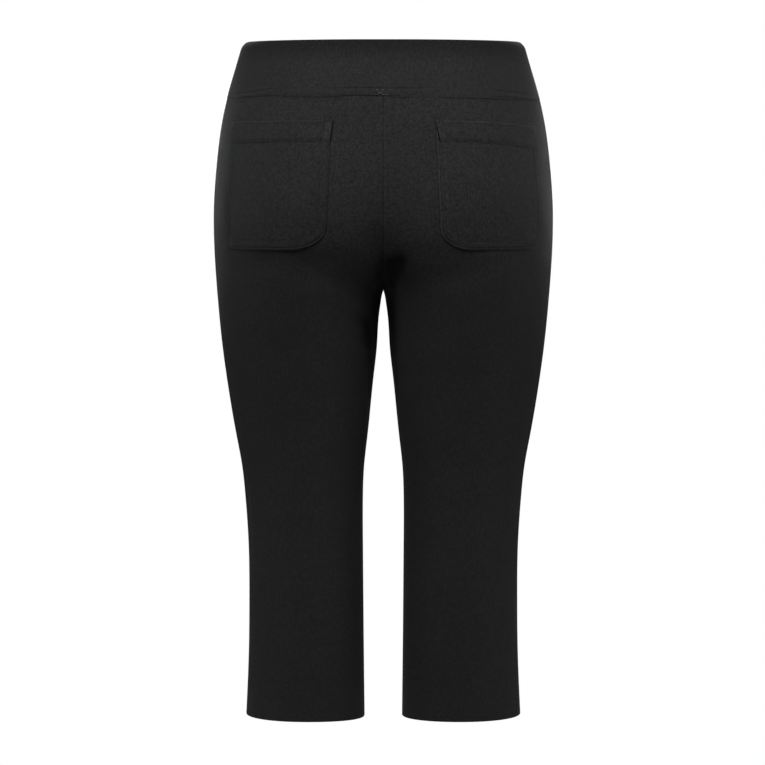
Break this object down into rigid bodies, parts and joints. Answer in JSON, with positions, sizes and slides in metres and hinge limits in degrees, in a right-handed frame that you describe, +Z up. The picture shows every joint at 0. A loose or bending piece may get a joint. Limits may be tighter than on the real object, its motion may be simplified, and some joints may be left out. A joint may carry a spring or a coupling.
{
  "type": "capri pants",
  "caption": "Pull-on capri pants with a wide waistband, patch pockets on the seat and straight cropped legs, in their hollow worn form.",
  "frame": {"origin": "the middle of the waist opening, level with the waistband's top edge", "axes": "+Z up, out of the waist opening; +Y towards the back; +X towards the wearer's left side"},
  "size_m": [0.4188, 0.2986, 0.8335],
  "materials": {
    "stretch_twill": "matte"
  },
  "bodies": {
    "root": {"waistband_back": "stretch_twill", "waistband_front": "stretch_twill", "back_left": "stretch_twill", "back_right": "stretch_twill", "front_left": "stretch_twill", "front_right": "stretch_twill", "pocket_left": "stretch_twill", "pocket_right": "stretch_twill", "pocket_band_left": "stretch_twill", "pocket_band_right": "stretch_twill"}
  },
  "joints": []
}
